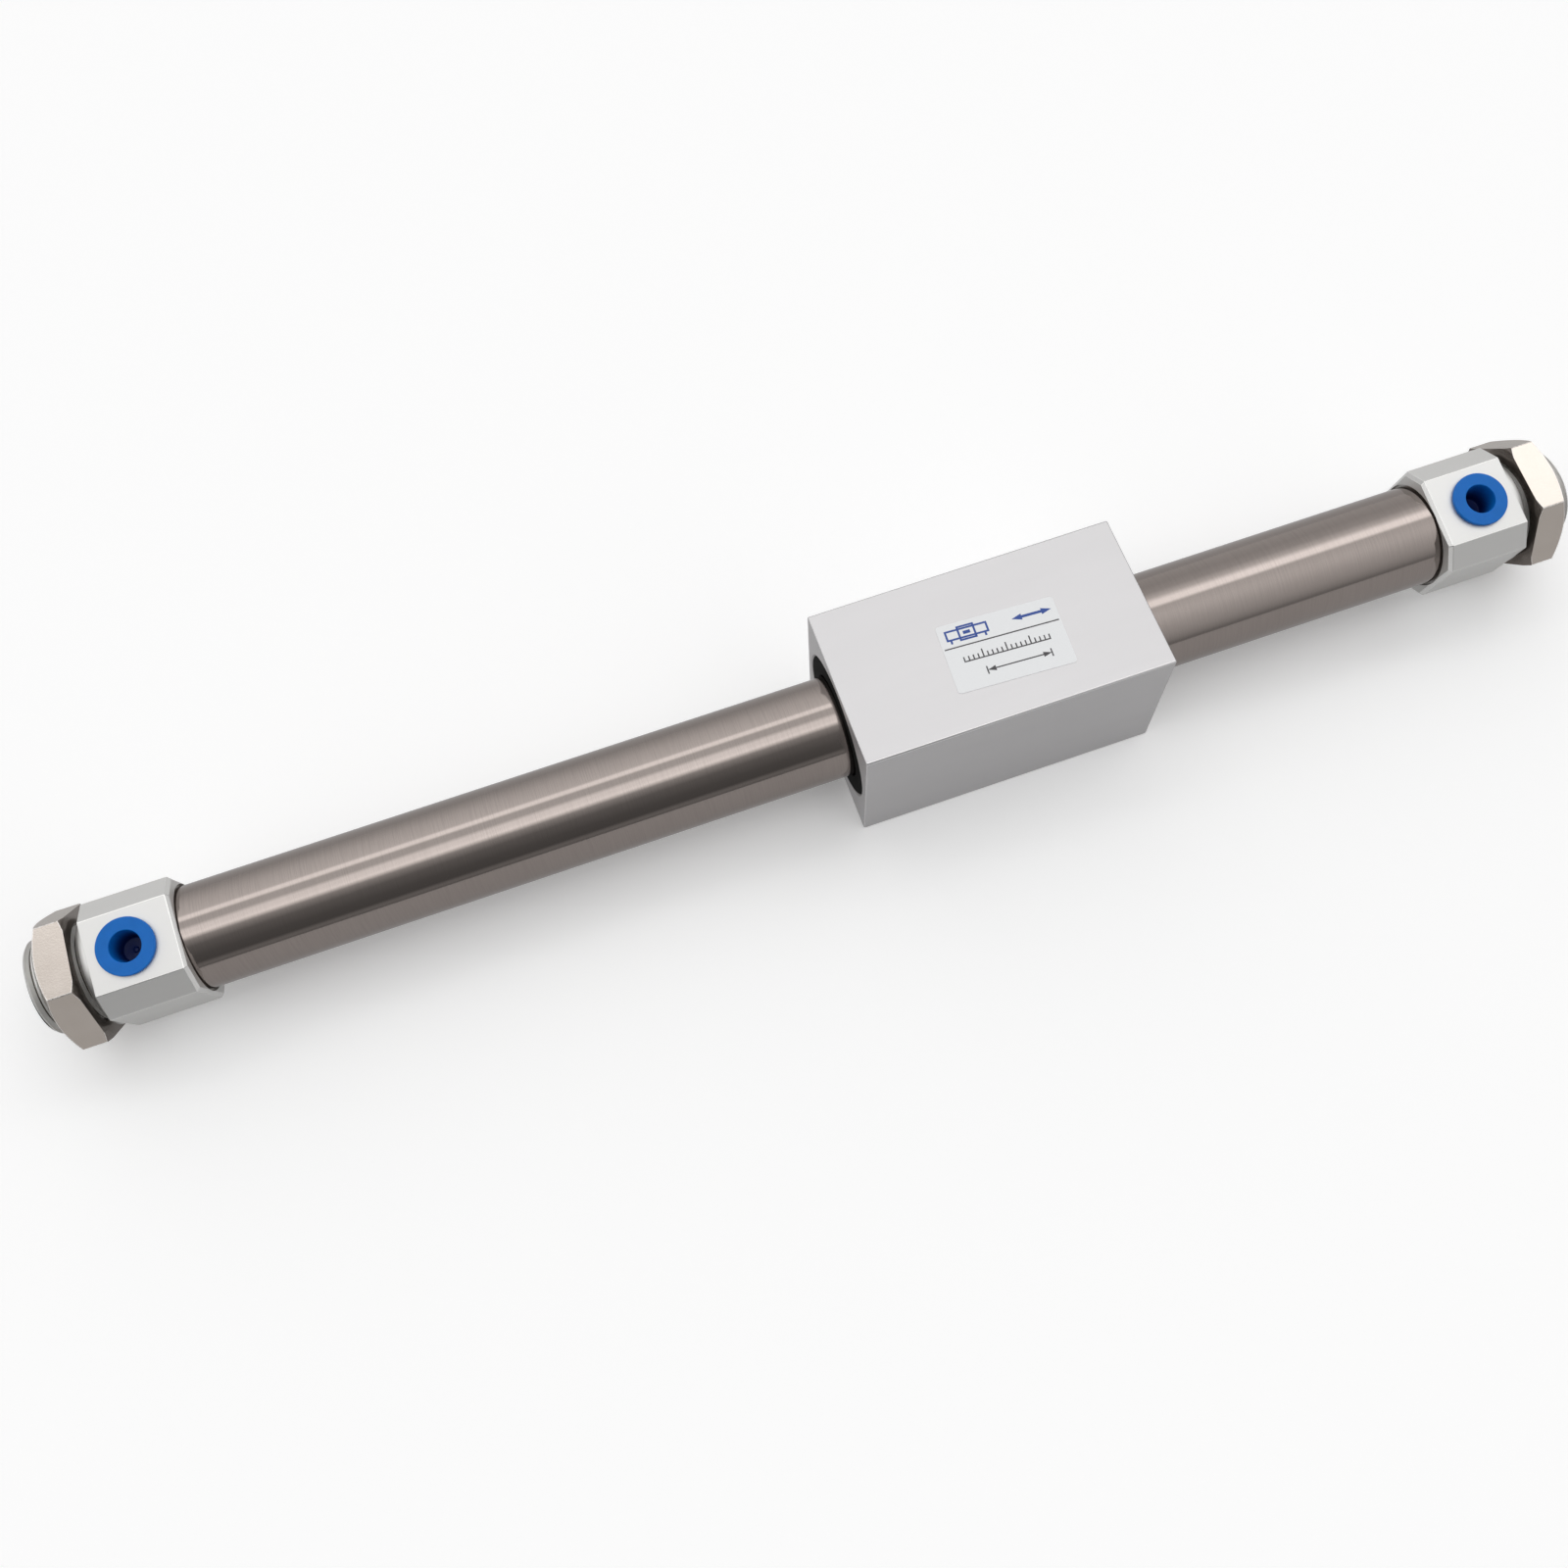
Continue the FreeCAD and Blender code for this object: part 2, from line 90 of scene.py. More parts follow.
nut_flats = 26 * mm
nut_thickness = 6.7 * mm
nut_gap = 2.8 * mm
nut_bevel_angle = math.radians(30)
nut_bevel_inset = 0.26 * mm
nut_back_stand = 1 * mm
nut_sink = 0.7 * mm
nut_corner = 0.25 * mm
left_nut_turn = math.radians(38)
right_nut_turn = math.radians(25)

port_r = 4.3 * mm
port_offset = 8 * mm
port_depth = 7 * mm
port_sink = 0.5 * mm
port_pitch = 0.907 * mm
port_thread = 0.45 * mm
passage_r = 2 * mm
drill_tip = math.radians(59)

plug_stand = 0.1 * mm
plug_flange_r = 5.8 * mm
plug_flange = 0.85 * mm
plug_shank = 6.2 * mm
plug_shank_r = 4.2 * mm
plug_draft = 0.15 * mm
plug_recess_r = 3.15 * mm
plug_recess_end_r = 2.5 * mm
plug_floor = 0.8 * mm
plug_gate_r = 0.5 * mm
plug_gate = 0.25 * mm
plug_round = 0.18 * mm

carriage_bore_r = 15.27 * mm
carriage_recess = 3 * mm
carriage_edge = 0.5 * mm
carriage_end_edge = 0.3 * mm
carriage_mouth = 0.4 * mm
bolt_r = 1.65 * mm
bolt_pitch = 0.7 * mm
bolt_thread = 0.33 * mm
bolt_depth = 6 * mm
bolt_sink = 0.45 * mm
bolt_edge = 5 * mm
bolt_inset = 8 * mm

stack_end = 19.5 * mm
felt_width = 1.8 * mm
felt_wall = 2.2 * mm
holder_web = 0.7 * mm
holder_air = 0.6 * mm
holder_round = 0.08 * mm
wear_pocket = 4 * mm
wear_wall = 1.5 * mm
scraper_width = 2 * mm
scraper_wall = 2.4 * mm
scraper_lip = 0.6 * mm
scraper_round = 0.06 * mm
dust_ring_sunk = 0.1 * mm
dust_ring_air = 0.3 * mm
dust_ring_edge = 0.2 * mm
dust_ring_round = 0.05 * mm
clip_thickness = 1.2 * mm
clip_play = 0.1 * mm
clip_groove = 0.65 * mm
clip_width = 2.4 * mm
clip_opening = math.radians(30)
clip_ear = 1.5 * mm
clip_ear_hole_r = 0.7 * mm
clip_ear_rise = 0.6 * mm

# Places read from the frame, and sizes that follow
tube_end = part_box("cylinder_tube")[1].x
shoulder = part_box("right_end_cover")[1].x - neck_length
carriage_low, carriage_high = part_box("carriage_body")
carriage_middle = (carriage_low.x + carriage_high.x) / 2
carriage_long_half = (carriage_high.x - carriage_low.x) / 2
carriage_half = carriage_high.z
floor_height = carriage_low.z
tube_stop = cover_length - tube_seat
cover_half = cover_flats / 2

# How the pieces are modelled
fine_sides = 240
round_sides = 144
plug_sides = 96
neck_sides = 96
small_sides = 72
nut_bar_sides = 48
ear_sides = 40
bolt_sides = 36
ear_hole_sides = 24
smooth_angle = math.radians(35)
thread_flank = math.radians(30)
upright = Matrix.Rotation(-math.tau / 4, 4, "Y")
port_place = Matrix.Translation((-port_offset, 0, 0)) @ upright

# How far a cutter reaches past what it cuts, and how far joined shapes reach into each other
clear = 1 * mm
overlap = 0.5 * mm


# Modelling
def select_only(piece):
    bpy.ops.object.select_all(action="DESELECT")
    piece.select_set(True)
    bpy.context.view_layer.objects.active = piece


def start_editing(piece, kind="VERT"):
    select_only(piece)
    bpy.ops.object.mode_set(mode="EDIT")
    bpy.ops.mesh.select_mode(type=kind)
    bpy.ops.mesh.select_all(action="SELECT")


def stop_editing():
    bpy.ops.object.mode_set(mode="OBJECT")


def close_up(piece):
    """Merges points that coincide and turns all faces outwards."""
    start_editing(piece)
    bpy.ops.mesh.remove_doubles(threshold=tiny)
    bpy.ops.mesh.normals_make_consistent(inside=False)
    stop_editing()


def apply_modifier(piece, modifier):
    select_only(piece)
    bpy.ops.object.modifier_apply(modifier=modifier.name)


def set_down(piece, place):
    """Moves a piece by a matrix that goes into its mesh, so that its object stays at the origin."""
    piece.matrix_world = place
    select_only(piece)
    bpy.ops.object.transform_apply(location=True, rotation=True, scale=True)
    return piece


def copy_of(piece):
    twin = piece.copy()
    twin.data = piece.data.copy()
    bpy.context.scene.collection.objects.link(twin)
    return twin


def new_cube(size):
    bpy.ops.object.select_all(action="DESELECT")
    bpy.ops.mesh.primitive_cube_add(size=size)
    return bpy.context.object


def drawn(name, outline, closed):
    """A chain of edges through (x, radius) points: a plane shrunk to one point, then drawn out."""
    bpy.ops.object.select_all(action="DESELECT")
    bpy.ops.mesh.primitive_plane_add(size=mm)
    piece = bpy.context.object
    piece.name = name
    start_editing(piece)
    bpy.ops.mesh.merge(type="CENTER")
    x, radius = outline[0]
    bpy.ops.transform.translate(value=(x, 0, radius))
    stops = outline[1:] + outline[:1] if closed else outline[1:]
    for next_x, next_radius in stops:
        step = (next_x - x, 0, next_radius - radius)
        bpy.ops.mesh.extrude_vertices_move(TRANSFORM_OT_translate={"value": step})
        x, radius = next_x, next_radius
    bpy.ops.mesh.select_all(action="SELECT")
    bpy.ops.mesh.remove_doubles(threshold=tiny)
    stop_editing()
    return piece


def turned(name, outline, sides=round_sides, angle=math.tau):
    """A shape spun about the X axis. Its outline is closed, or starts and ends on the axis."""
    closed = outline[0][1] > 0
    piece = drawn(name, outline, closed)
    start_editing(piece)
    bpy.ops.mesh.spin(steps=sides, angle=angle, center=(0, 0, 0), axis=axis_x)
    bpy.ops.mesh.select_all(action="SELECT")
    bpy.ops.mesh.remove_doubles(threshold=tiny)
    if angle < math.tau:
        bpy.ops.mesh.select_all(action="DESELECT")
        bpy.ops.mesh.select_non_manifold()
        bpy.ops.mesh.edge_face_add()
    stop_editing()
    close_up(piece)
    return piece


def disc(name, x0, x1, radius, sides):
    """A solid round piece along X."""
    return turned(name, [(x0, 0), (x0, radius), (x1, radius), (x1, 0)], sides)


def thread(name, x0, x1, root_r, crest_r, pitch, sides=small_sides):
    """A threaded rod along X: one tooth is drawn and screwed round, and both ends are cut flat."""
    flank = (crest_r - root_r) * math.tan(thread_flank)
    crest = pitch / 8
    root = pitch - crest - 2 * flank
    start = x0 - pitch
    tooth = [(start, root_r), (start + root, root_r), (start + root + flank, crest_r)]
    tooth += [(start + root + flank + crest, crest_r), (start + pitch, root_r)]
    rod = drawn(name, tooth, closed=False)
    screw = rod.modifiers.new("screw", "SCREW")
    screw.axis = "X"
    screw.angle = math.tau
    screw.steps = sides
    screw.render_steps = sides
    screw.screw_offset = pitch
    screw.iterations = math.ceil((x1 - x0) / pitch) + 1
    apply_modifier(rod, screw)
    close_up(rod)
    cut_flat(rod, (x0, 0, 0), (-1, 0, 0))
    cut_flat(rod, (x1, 0, 0), axis_x)
    close_up(rod)
    return rod


def cut_flat(piece, point, outwards):
    """Cuts away what lies beyond a plane and closes the cut."""
    start_editing(piece)
    bpy.ops.mesh.bisect(
        plane_co=point,
        plane_no=outwards,
        use_fill=True,
        clear_outer=True,
        threshold=tiny,
    )
    stop_editing()


def away(angle):
    """The direction at an angle round the X axis, counted from +Z towards -Y."""
    return Vector((0, -math.sin(angle), math.cos(angle)))


def mill(piece, distance, angle):
    """Mills one flat along X, at a distance from the axis and facing away from it at an angle."""
    cut_flat(piece, away(angle) * distance, away(angle))


def combine(piece, tool, operation):
    """Joins, cuts or limits a piece by another one, which is used up, and merges close points."""
    boolean = piece.modifiers.new("boolean", "BOOLEAN")
    boolean.operation = operation
    boolean.object = tool
    boolean.solver = "EXACT"
    apply_modifier(piece, boolean)
    bpy.data.objects.remove(tool)
    start_editing(piece)
    bpy.ops.mesh.remove_doubles(threshold=tiny)
    stop_editing()


def soften(piece, width, segments=2, angle=30):
    """Rounds every edge that is sharper than an angle."""
    bevel = piece.modifiers.new("soften", "BEVEL")
    bevel.limit_method = "ANGLE"
    bevel.angle_limit = math.radians(angle)
    bevel.width = width
    bevel.segments = segments
    bevel.use_clamp_overlap = False
    apply_modifier(piece, bevel)


def bevel_edges(piece, wanted, width, segments):
    """Rounds those edges whose two ends pass a test."""
    start_editing(piece, "EDGE")
    bpy.ops.mesh.select_all(action="DESELECT")
    stop_editing()
    points = [vertex.co for vertex in piece.data.vertices]
    for edge in piece.data.edges:
        first, second = edge.vertices
        edge.select = wanted(points[first], points[second])
    bpy.ops.object.mode_set(mode="EDIT")
    bpy.ops.mesh.bevel(offset=width, segments=segments, affect="EDGES")
    stop_editing()


def finish(piece, name, body, paint, nodes=()):
    """Smooths a piece's shading, paints it, and puts it on its body in the place of its solid."""
    piece.name = name
    select_only(piece)
    bpy.ops.object.shade_smooth_by_angle(angle=smooth_angle)
    weighted = piece.modifiers.new("weighted", "WEIGHTED_NORMAL")
    weighted.keep_sharp = True
    apply_modifier(piece, weighted)
    piece.data.materials.clear()
    piece.data.materials.append(paint)
    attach(piece, body)
    if nodes:
        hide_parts(*nodes)


def colour(red, green, blue):
    return (red, green, blue, 1)


def grey(level):
    return colour(level, level, level)


# How finishes are written: arithmetic on values adds nodes
class Value:
    """A socket of a node tree, on which arithmetic can be written."""

    def __init__(self, graph, socket):
        self.graph = graph
        self.socket = socket

    def __add__(self, other):
        return self.graph.maths("ADD", self, other)

    def __sub__(self, other):
        return self.graph.maths("SUBTRACT", self, other)

    def __rsub__(self, other):
        return self.graph.maths("SUBTRACT", other, self)

    def __mul__(self, other):
        return self.graph.maths("MULTIPLY", self, other)

    def __truediv__(self, other):
        return self.graph.maths("DIVIDE", self, other)

    __radd__ = __add__
    __rmul__ = __mul__


class Graph:
    """A node tree, with one method that adds any node."""

    def __init__(self, tree):
        self.tree = tree

    def add(self, kind, settings, inputs, output=0):
        """Adds a node, with its settings before its inputs, and gives one of its outputs."""
        node = self.tree.nodes.new("ShaderNode" + kind)
        for name, value in settings.items():
            if name == "stops":
                set_stops(node.color_ramp, value)
            else:
                setattr(node, name, value)
        for name, value in inputs.items():
            self.feed(node.inputs[name], value)
        return Value(self, node.outputs[output])

    def feed(self, socket, value):
        if isinstance(value, Value):
            self.tree.links.new(value.socket, socket)
        else:
            socket.default_value = value

    def maths(self, operation, first, second=0):
        return self.add("Math", {"operation": operation}, {0: first, 1: second})

    def parts(self, vector):
        """The three numbers of a vector."""
        return [self.add("SeparateXYZ", {}, {0: vector}, index) for index in range(3)]

    def blend(self, mask, first, second):
        """The first colour where the mask is 0, and the second where it is 1."""
        settings = {"data_type": "RGBA"}
        return self.add("Mix", settings, {"Factor": mask, 6: first, 7: second}, 2)

    def between(self, value, low, high):
        """0 below low, 1 above high, and smooth between them."""
        settings = {"interpolation_type": "SMOOTHSTEP"}
        return self.add("MapRange", settings, {"Value": value, "From Min": low, "From Max": high})


def set_stops(ramp, stops):
    while len(ramp.elements) < len(stops):
        ramp.elements.new(1)
    for element, (position, level) in zip(ramp.elements, stops):
        element.position = position
        element.color = grey(level)


class Paint(Graph):
    """A material. What is the same all over is set on the shader's own sockets."""

    def __init__(self, name, constants):
        self.material = bpy.data.materials.new(name)
        self.material.use_nodes = True
        super().__init__(self.material.node_tree)
        self.shader = self.tree.nodes["Principled BSDF"]
        for socket, value in constants.items():
            self.shader.inputs[socket].default_value = value
        self.place = self.add("TexCoord", {}, {}, "Object")

    def set(self, socket, value):
        """Feeds one of the shader's sockets."""
        self.feed(self.shader.inputs[socket], value)

    def speckle(self, size, stretch=(1, 1, 1), detail=2.0):
        """Noise with grains of a size, drawn out along the axes by the factors of stretch."""
        scale = [1 / (size * factor) for factor in stretch]
        place = self.add("Mapping", {}, {"Vector": self.place, "Scale": scale})
        return self.add("TexNoise", {}, {"Vector": place, "Scale": 1.0, "Detail": detail}, "Fac")

    def off_axis(self):
        """Distance from the tube's axis."""
        flat = self.add("Mapping", {}, {"Vector": self.place, "Scale": (0, 1, 1)})
        return self.add("VectorMath", {"operation": "LENGTH"}, {0: flat}, "Value")

    def reach(self, direction):
        """How far a point lies from the middle in a direction."""
        inputs = {0: self.place, 1: direction}
        return self.add("VectorMath", {"operation": "DOT_PRODUCT"}, inputs, "Value")

    def lathe_marks(self, width):
        """Fine rings about the tube's axis, as turning leaves on an end face."""
        inputs = {"W": self.off_axis() / width, "Scale": 1.0, "Detail": 2.0}
        return self.add("TexNoise", {"noise_dimensions": "1D"}, inputs, "Fac")

    def normal_parts(self):
        """The direction that the surface faces, as three numbers."""
        return self.parts(self.add("TexCoord", {}, {}, "Normal"))

    def facing_angle(self):
        """The angle round the X axis at which the surface faces, from +Z towards -Y."""
        y, z = self.normal_parts()[1:]
        return self.maths("ARCTAN2", 0 - y, z)

    def beyond_shoulder(self):
        """Distance along the tube past the end of a cover's bar, in metres."""
        return self.maths("ABSOLUTE", self.parts(self.place)[0]) - shoulder

    def faces_middle(self):
        """1 on faces that look along the tube towards its middle."""
        outwards = self.maths("SIGN", self.parts(self.place)[0]) * self.normal_parts()[0]
        return self.between(outwards, -0.6, -0.8)

    def thread_grime(self):
        """Mask of painted shade: 1 in the roots of a neck's thread and behind its nut, fading over
        its collar.
        """
        beyond = self.beyond_shoulder()
        on_neck = self.between(beyond, 0, collar_length)
        roots = self.between(self.off_axis(), neck_r - 0.2 * mm, neck_r - 0.7 * mm)
        behind = self.between(beyond, nut_gap + nut_thickness, nut_gap)
        return on_neck * self.maths("MAXIMUM", roots, behind) * (1 - self.faces_end())

    def nut_edges(self):
        """1 on a nut's worn edges: the six along it, and the arcs at the ends of its flats."""
        left_roll = cover_roll - left_nut_turn - math.tau / 12
        right_roll = cover_roll + right_nut_turn + math.tau / 12
        right = self.between(self.parts(self.place)[0], -mm, mm)
        turn = self.facing_angle() - left_roll - right * (right_roll - left_roll)
        along = self.between(self.maths("ABSOLUTE", self.maths("SINE", turn * 3)), 0.3, 0.7)
        beyond = self.beyond_shoulder() - nut_gap
        past_flats = self.off_axis() - nut_flats / 2
        slope = math.tan(nut_bevel_angle)
        to_back = beyond - (past_flats - nut_back_stand) * slope
        to_face = nut_thickness - beyond - (past_flats + nut_bevel_inset) * slope
        to_bevel = self.maths("MINIMUM", to_back, to_face)
        arcs = self.between(to_bevel, 0.22 * mm, 0.08 * mm)
        return self.maths("MAXIMUM", along, arcs) * (1 - self.faces_end())

    def faces_end(self):
        """1 on faces that look along the tube, and 0 on those along its side."""
        x = self.normal_parts()[0]
        return self.between(x * x, 0.2, 0.5)

    def worn_edges(self, flats, roll, core_r):
        """1 on the rounded or broken edges of a bar, outside its bored or turned core."""
        x = self.normal_parts()[0]
        turn = self.facing_angle() - roll
        sideways = 1 - x * x
        # Both are 0 on flats and ends, and 1 where the surface faces half-way between two of them
        along = self.maths("ABSOLUTE", self.maths("SINE", turn * (flats / 2))) * sideways
        across = x * x * sideways * 4
        outside = self.between(self.off_axis(), core_r, core_r + 0.3 * mm)
        on_bar = self.between(self.beyond_shoulder(), 0.05 * mm, 0)
        return self.between(self.maths("MAXIMUM", along, across), 0.2, 0.6) * outside * on_bar

    def relief(self, height, depth):
        """Bump from a height of 0 to 1, with its real depth."""
        self.set("Normal", self.add("Bump", {}, {"Height": height, "Distance": depth}))


# Finishes of the pieces in view
def stainless_steel():
    """Drawn tube, ground round and round, with faint marks round it and a warm tone."""
    paint = Paint("ground stainless steel", {"Metallic": 1.0})
    scratches = paint.speckle(0.12 * mm, (1, 60, 60), 3)
    clouds = paint.speckle(9 * mm, (3, 1, 1))
    dull = colour(0.352, 0.306, 0.284)
    bright = colour(0.382, 0.335, 0.313)
    scratched = colour(0.335, 0.292, 0.272)
    ground = paint.blend(clouds, dull, bright)
    paint.set("Base Color", paint.blend(paint.between(scratches, 0.35, 0.75), ground, scratched))
    paint.set("Roughness", 0.055 + scratches * 0.05 + clouds * 0.02)
    paint.relief(scratches, 0.0006 * mm)
    return paint.material


def satin_aluminium(name, tone, grain_depth, flats, roll, core_r, threaded=False):
    """Clear anodised bar: a fine grain along it, lathe marks on its ends, brighter edges."""
    paint = Paint(name, {"Metallic": 1.0})
    grain = paint.speckle(0.16 * mm, (90, 1, 1), 3)
    pores = paint.speckle(0.22 * mm)
    clouds = paint.speckle(7 * mm, (4, 1, 1))
    rings = paint.lathe_marks(0.16 * mm)
    end = paint.faces_end()
    marks = grain * (1 - end) + rings * end
    edges = paint.worn_edges(flats, roll, core_r)
    dull = [level * 0.93 for level in tone]
    bright = [min(1, level * 1.12) for level in tone]
    # Near-black tone of the painted shade in a neck's thread roots and behind its nut
    painted_thread_shade = colour(0.10, 0.09, 0.08)
    base = paint.blend(clouds * 0.6 + marks * 0.4, colour(*dull), colour(*tone))
    base = paint.blend(edges, base, colour(*bright))
    # Painted shade: a threaded neck's roots, and the neck behind its nut, are darkened to near
    # black
    if threaded:
        base = paint.blend(paint.thread_grime(), base, painted_thread_shade)
    paint.set("Base Color", base)
    paint.set("Roughness", (0.46 + marks * 0.10 + pores * 0.06) * (1 - edges * 0.6))
    paint.relief(marks * 0.75 + pores * 0.25, grain_depth)
    return paint.material


def nickel_plate():
    """Bright nickel over turned and milled steel, a little warm, with a fine orange-peel grain."""
    paint = Paint("nickel plate", {"Metallic": 1.0})
    grain = paint.speckle(0.35 * mm, (1, 1, 1), 3)
    rings = paint.lathe_marks(0.3 * mm)
    end = paint.faces_end()
    clouds = paint.speckle(5 * mm)
    dull = colour(0.56, 0.50, 0.45)
    bright = colour(0.64, 0.58, 0.53)
    # Dark tone of the painted shade on faces that look into the gap towards the cover
    painted_gap_shade = colour(0.25, 0.22, 0.20)
    rubbed = colour(0.95, 0.92, 0.89)
    # Painted shade: faces that look along the tube towards its middle, into the gap by the cover,
    # are darkened
    gap_shaded_base = paint.blend(paint.faces_middle(), paint.blend(clouds, dull, bright), painted_gap_shade)
    edges = paint.nut_edges() * paint.between(grain, 0.25, 0.6)
    paint.set("Base Color", paint.blend(edges, gap_shaded_base, rubbed))
    paint.set("Roughness", 0.15 + clouds * 0.06 + grain * 0.08 + edges * 0.35)
    paint.relief(grain * (1 - end) + (rings * 0.6 + grain * 0.4) * end, 0.012 * mm)
    return paint.material


def blue_polythene():
    """Soft blue plastic, slightly clouded, with a faint grain, and painted shade darkening it down
    a plug's recess.
    """
    paint = Paint("blue polythene", {
        "Subsurface Weight": 0.12,
        "Subsurface Radius": (0.2, 0.5, 1.0),
        "Subsurface Scale": 1 * mm,
        "Specular IOR Level": 0.25,
    })
    clouds = paint.speckle(2.5 * mm)
    grain = paint.speckle(0.12 * mm)
    height = paint.reach(away(cover_roll))
    sideways = paint.reach(away(cover_roll - math.tau / 4))
    along = paint.beyond_shoulder() + port_offset
    off_plug = paint.maths("SQRT", along * along + sideways * sideways)
    top = cover_half + plug_stand + plug_flange
    shade_depth = 5.5 * mm
    shade_margin = 0.1 * mm
    # Painted shade: inside the recess the blue darkens to navy with depth below the flange's top
    high = paint.between(height, top - shade_depth, top - shade_margin)
    outside = paint.between(off_plug, plug_recess_r + shade_margin, plug_shank_r - plug_draft)
    unshaded = paint.maths("MAXIMUM", high, outside)
    painted_recess_shade = colour(0.0005, 0.012, 0.10)
    blue = colour(0.001, 0.135, 0.50)
    lighter = colour(0.003, 0.17, 0.62)
    paint.set("Base Color", paint.blend(unshaded, painted_recess_shade, paint.blend(clouds, blue, lighter)))
    paint.set("Roughness", 0.36 + grain * 0.12)
    paint.relief(grain, 0.004 * mm)
    return paint.material


def label_film():
    """White printed film with a soft sheen."""
    paint = Paint("label film", {"Coat Roughness": 0.25, "Coat Weight": 0.25})
    fibres = paint.speckle(0.3 * mm)
    white = colour(0.86, 0.87, 0.88)
    whiter = colour(0.90, 0.91, 0.92)
    paint.set("Base Color", paint.blend(fibres, white, whiter))
    paint.set("Roughness", 0.40 + fibres * 0.10)
    paint.relief(fibres, 0.002 * mm)
    return paint.material


def printing_ink(name, tone):
    """One tone of ink with a faint speckle."""
    paint = Paint(name, {"Specular IOR Level": 0.4})
    speckle = paint.speckle(0.1 * mm)
    lighter = [level + 0.03 for level in tone]
    paint.set("Base Color", paint.blend(speckle, colour(*tone), colour(*lighter)))
    paint.set("Roughness", 0.45 + speckle * 0.1)
    return paint.material


def moulded(name, tone, roughness, grain_size, depth, gloss=0.5):
    """Rubber, plastic, felt or urethane: one tone with a grain and soft clouds."""
    paint = Paint(name, {"Specular IOR Level": gloss})
    grain = paint.speckle(grain_size, (1, 1, 1), 4)
    clouds = paint.speckle(3 * mm)
    lighter = [min(1, level * 1.25 + 0.005) for level in tone]
    mixed = paint.blend(grain * 0.5 + clouds * 0.5, colour(*tone), colour(*lighter))
    paint.set("Base Color", mixed)
    paint.set("Roughness", roughness + grain * 0.1)
    paint.relief(grain, depth)
    return paint.material


def machined(name, tone, roughness):
    """A turned metal piece: fine rings on its ends and fine lines round its side."""
    paint = Paint(name, {"Metallic": 1.0})
    lines = paint.speckle(0.1 * mm, (1, 40, 40), 3)
    rings = paint.lathe_marks(0.12 * mm)
    end = paint.faces_end()
    marks = lines * (1 - end) + rings * end
    dull = [level * 0.88 for level in tone]
    paint.set("Base Color", paint.blend(marks, colour(*dull), colour(*tone)))
    paint.set("Roughness", roughness + marks * 0.12)
    paint.relief(marks, 0.003 * mm)
    return paint.material


def make_finishes():
    """One finish for each material slot of the record."""
    return {
        "stainless_tube": stainless_steel(),
        "cover_aluminium": satin_aluminium(
            "cover aluminium",
            (0.84, 0.835, 0.82),
            grain_depth=0.003 * mm,
            flats=8,
            roll=cover_roll,
            core_r=cover_half - cover_edge,
            threaded=True,
        ),
        "carriage_aluminium": satin_aluminium(
            "carriage aluminium",
            (0.722, 0.711, 0.717),
            grain_depth=0.002 * mm,
            flats=4,
            roll=0,
            core_r=carriage_bore_r + carriage_mouth,
        ),
        "nut_nickel": nickel_plate(),
        "plug_blue": blue_polythene(),
        "magnet_plating": machined("magnet plating", (0.62, 0.60, 0.57), 0.18),
        "yoke_steel": machined("yoke steel", (0.42, 0.40, 0.38), 0.32),
        "holder_aluminium": machined("holder aluminium", (0.72, 0.72, 0.71), 0.28),
        "wear_plastic": moulded("wear plastic", (0.10, 0.045, 0.02), 0.42, 0.2 * mm, 0.004 * mm),
        "seal_rubber": moulded("seal rubber", (0.014, 0.014, 0.015), 0.48, 0.15 * mm, 0.006 * mm),
        "ring_plastic": moulded(
            "black ring plastic", (0.006, 0.006, 0.006), 0.75, 0.2 * mm, 0.003 * mm, gloss=0.08
        ),
        "oil_felt": moulded("oiled felt", (0.30, 0.24, 0.13), 0.72, 0.12 * mm, 0.05 * mm),
        "spring_steel": machined("spring steel", (0.17, 0.165, 0.16), 0.30),
        "piston_aluminium": machined("piston aluminium", (0.70, 0.69, 0.66), 0.24),
        "shaft_steel": machined("shaft steel", (0.52, 0.51, 0.49), 0.16),
        "bumper_urethane": moulded(
            "bumper urethane", (0.42, 0.30, 0.12), 0.35, 0.3 * mm, 0.004 * mm
        ),
    }


# Pieces of an end, in the cover's own frame: shoulder at x = 0, neck along +X, port up
def end_cover():
    """Square bar with bevelled edges and a broken tube end, a threaded neck and an air port."""
    bevel_distance = (cover_flats - cover_bevel) / math.sqrt(2)
    bar_r = cover_half * 1.3  # well past the corners between the flats
    cover = disc("end_cover", -cover_length, 0, bar_r, small_sides)
    flats = [(bevel_distance if step % 2 else cover_half, step * math.tau / 8) for step in range(8)]
    for distance, angle in flats:
        mill(cover, distance, angle)
    for distance, angle in flats:
        break_edge(cover, distance, angle)
    close_up(cover)
    soften(cover, cover_round)
    combine(cover, tube_room(), "DIFFERENCE")
    combine(cover, collar(), "UNION")
    combine(cover, neck(), "UNION")
    bore_port(cover)
    return cover


def break_edge(cover, distance, angle):
    """Cuts the edge between a flat and the tube end at 45 degrees."""
    end = Vector((cover_edge - cover_length, 0, 0))
    cut_flat(cover, end + away(angle) * distance, away(angle) - Vector(axis_x))


def tube_room():
    """What is bored out of a cover: mouth, tube seat round a spigot, and air chamber."""
    seat_r = tube_r + seated
    mouth_r = tube_r + mouth_air
    mouth_floor = mouth_depth - cover_length
    chamber_end = passage_r - port_offset
    spigot_end = -tube_stop - spigot_length
    return turned("tube_room", [
        (chamber_end, 0),
        (chamber_end, chamber_r),
        (spigot_end, chamber_r),
        (spigot_end, spigot_r),
        (-tube_stop, spigot_r),
        (-tube_stop, seat_r),
        (mouth_floor, seat_r),
        (mouth_floor, mouth_r),
        (-cover_length - clear, mouth_r),
        (-cover_length - clear, 0),
    ])


